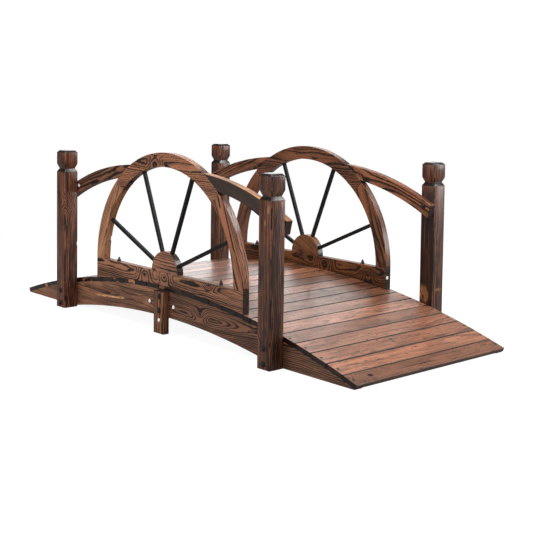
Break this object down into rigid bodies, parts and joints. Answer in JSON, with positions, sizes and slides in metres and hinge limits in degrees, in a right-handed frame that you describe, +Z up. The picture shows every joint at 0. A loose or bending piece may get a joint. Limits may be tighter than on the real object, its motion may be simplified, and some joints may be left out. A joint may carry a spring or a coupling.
{
  "type": "garden bridge",
  "caption": "Arched wooden garden bridge with half-wheel railings, square posts, curved handrails and a plank deck, in dark stained fir.",
  "frame": {"origin": "centre of the footprint, on the ground under the feet", "axes": "+X along the walkway towards the front end, +Y towards the left side, +Z up"},
  "size_m": [1.5074, 0.676, 0.5155],
  "materials": {
    "frame_wood": "satin",
    "post_wood": "satin",
    "rail_wood": "satin",
    "deck_wood": "satin",
    "spoke_steel": "satin"
  },
  "bodies": {
    "root": {"left_side_beam": "frame_wood", "left_centre_leg": "frame_wood", "right_side_beam": "frame_wood", "right_centre_leg": "frame_wood", "front_left_post": "post_wood", "front_right_post": "post_wood", "back_left_post": "post_wood", "back_right_post": "post_wood", "front_left_handrail": "rail_wood", "front_right_handrail": "rail_wood", "back_left_handrail": "rail_wood", "back_right_handrail": "rail_wood", "left_wheel_rail": "rail_wood", "left_wheel_hub": "rail_wood", "left_wheel_rim_front": "rail_wood", "left_wheel_rim_top": "rail_wood", "left_wheel_rim_back": "rail_wood", "left_wheel_spoke_1": "spoke_steel", "left_wheel_spoke_2": "spoke_steel", "left_wheel_spoke_3": "spoke_steel", "left_wheel_spoke_4": "spoke_steel", "right_wheel_rail": "rail_wood", "right_wheel_hub": "rail_wood", "right_wheel_rim_front": "rail_wood", "right_wheel_rim_top": "rail_wood", "right_wheel_rim_back": "rail_wood", "right_wheel_spoke_1": "spoke_steel", "right_wheel_spoke_2": "spoke_steel", "right_wheel_spoke_3": "spoke_steel", "right_wheel_spoke_4": "spoke_steel", "deck_planks_1": "deck_wood", "deck_planks_2": "deck_wood", "deck_planks_3": "deck_wood", "deck_planks_4": "deck_wood", "deck_planks_5": "deck_wood", "deck_planks_6": "deck_wood", "deck_planks_7": "deck_wood", "deck_planks_8": "deck_wood", "deck_planks_9": "deck_wood"}
  },
  "joints": []
}
